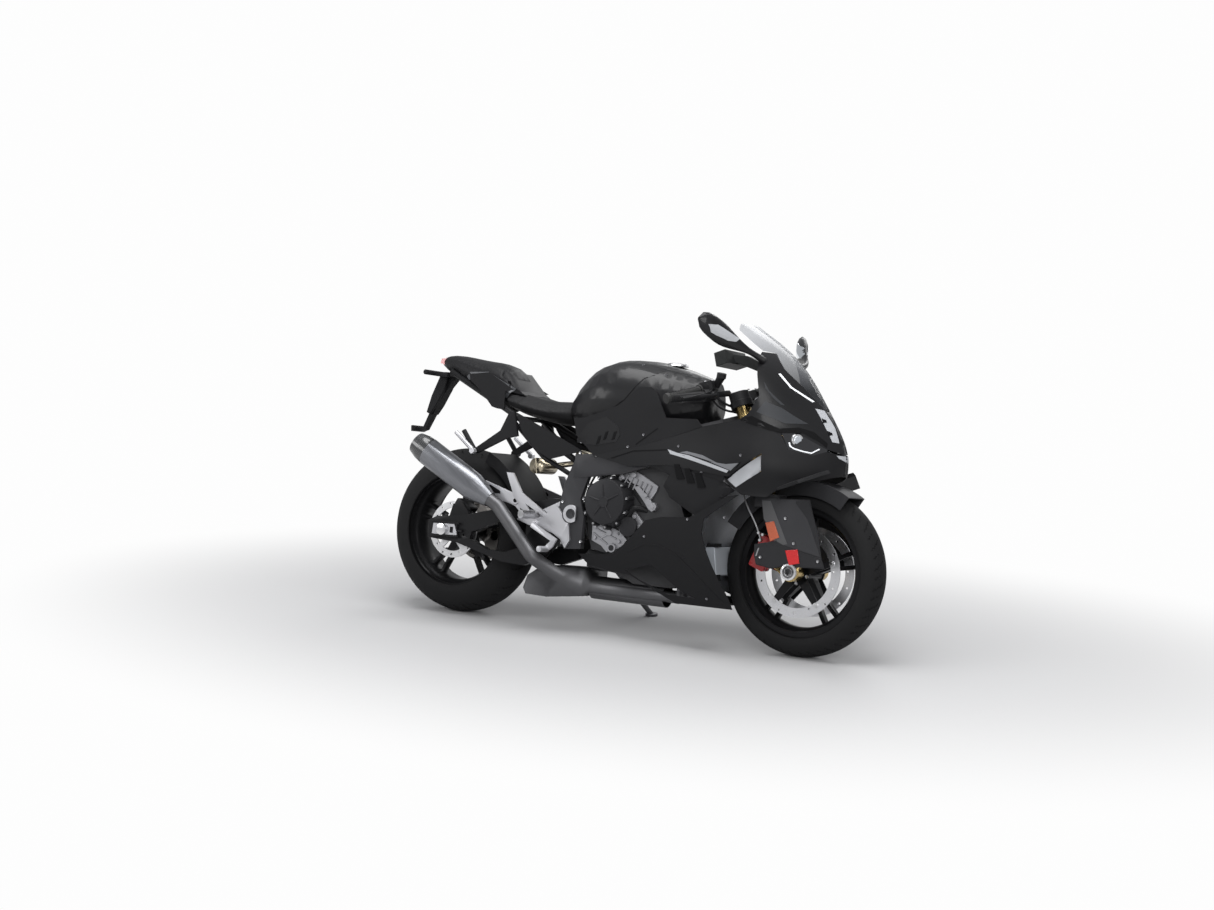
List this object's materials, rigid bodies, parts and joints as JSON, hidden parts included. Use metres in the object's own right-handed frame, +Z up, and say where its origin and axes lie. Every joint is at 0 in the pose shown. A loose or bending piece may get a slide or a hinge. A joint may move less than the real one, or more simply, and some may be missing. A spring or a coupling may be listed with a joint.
{
  "type": "sport motorcycle",
  "caption": "Fully faired sport motorcycle leaning on its side stand, with turning wheels, steering and a folding stand.",
  "frame": {"origin": "on the ground, in the middle of the object's box seen from above", "axes": "+X forward along the wheelbase, +Y to the rider's left, +Z up; the bike leans to its left on its side stand"},
  "size_m": [2.075, 0.8372, 1.2172],
  "materials": {
    "tyre_rubber": "matt",
    "wheel_black": "satin painted",
    "disc_steel": "ground",
    "chain_steel": "oiled",
    "axle_steel": "turned",
    "fork_gold": "anodised",
    "yoke_black": "anodised",
    "bar_black": "satin",
    "caliper_red": "painted",
    "caliper_dark": "anodised",
    "arm_black": "satin",
    "frame_grey": "satin",
    "engine_silver": "cast",
    "cover_dark": "cast, painted",
    "core_grey": "finned",
    "exhaust_grey": "satin",
    "can_titanium": "brushed",
    "carbon": "woven, lacquered",
    "paint_black": "gloss",
    "tank_black": "gloss",
    "trim_black": "matt",
    "seat_vinyl": "grained",
    "lamp_red": "clear",
    "lamp_clear": "clear",
    "screen_smoke": "clear, tinted",
    "hanger_silver": "cast",
    "stand_steel": "satin"
  },
  "bodies": {
    "chassis": {"drive_chain": "chain_steel", "rear_axle": "axle_steel", "rear_caliper": "caliper_dark", "swingarm": "arm_black", "main_frame": "frame_grey", "subframe": "arm_black", "engine_block": "engine_silver", "engine_covers": "cover_dark", "radiator": "core_grey", "exhaust_system": "exhaust_grey", "silencer": "can_titanium", "silencer_cap": "carbon", "fuel_tank": "tank_black", "rider_seat": "seat_vinyl", "tail_cowl": "paint_black", "tail_lamp": "lamp_red", "plate_holder": "trim_black", "nose_fairing": "paint_black", "windscreen": "screen_smoke", "headlamps": "lamp_clear", "right_side_fairing": "paint_black", "left_side_fairing": "paint_black", "infill_panels": "trim_black", "winglets": "paint_black", "belly_fairing": "trim_black", "right_mirror": "paint_black", "left_mirror": "paint_black", "dashboard": "trim_black", "rear_hugger": "trim_black", "shock_absorber": "hanger_silver", "rider_footrests": "hanger_silver", "pillion_footrests": "arm_black"},
    "front_wheel": {"front_tyre": "tyre_rubber", "front_rim": "wheel_black", "front_discs": "disc_steel"},
    "rear_wheel": {"rear_tyre": "tyre_rubber", "rear_rim": "wheel_black", "rear_disc": "disc_steel", "rear_sprocket": "chain_steel"},
    "steering": {"fork_legs": "fork_gold", "fork_yokes": "yoke_black", "handlebars": "bar_black", "front_mudguard": "trim_black", "front_calipers": "caliper_red", "front_axle": "axle_steel"},
    "stand": {"side_stand": "stand_steel"}
  },
  "joints": [
    {"name": "steering", "type": "hinge", "parent": "chassis", "child": "steering", "pos_m": [0.49722, -0.05845, 0.77112], "axis": [-0.4001, 0.149, 0.9043], "range_deg": [-24, 24]},
    {"name": "front_wheel_spin", "type": "hinge", "parent": "steering", "child": "front_wheel", "pos_m": [0.73826, -0.13662, 0.2968], "axis": [-0.0001, 0.9867, -0.1626], "continuous": true},
    {"name": "rear_wheel_spin", "type": "hinge", "parent": "chassis", "child": "rear_wheel", "pos_m": [-0.71873, -0.13337, 0.317], "axis": [-0.0001, 0.9867, -0.1626], "continuous": true},
    {"name": "stand_fold", "type": "hinge", "parent": "chassis", "child": "stand", "pos_m": [-0.14626, 0.00556, 0.21892], "axis": [0.1636, 0.8245, 0.5417], "range_deg": [0, 105]}
  ]
}
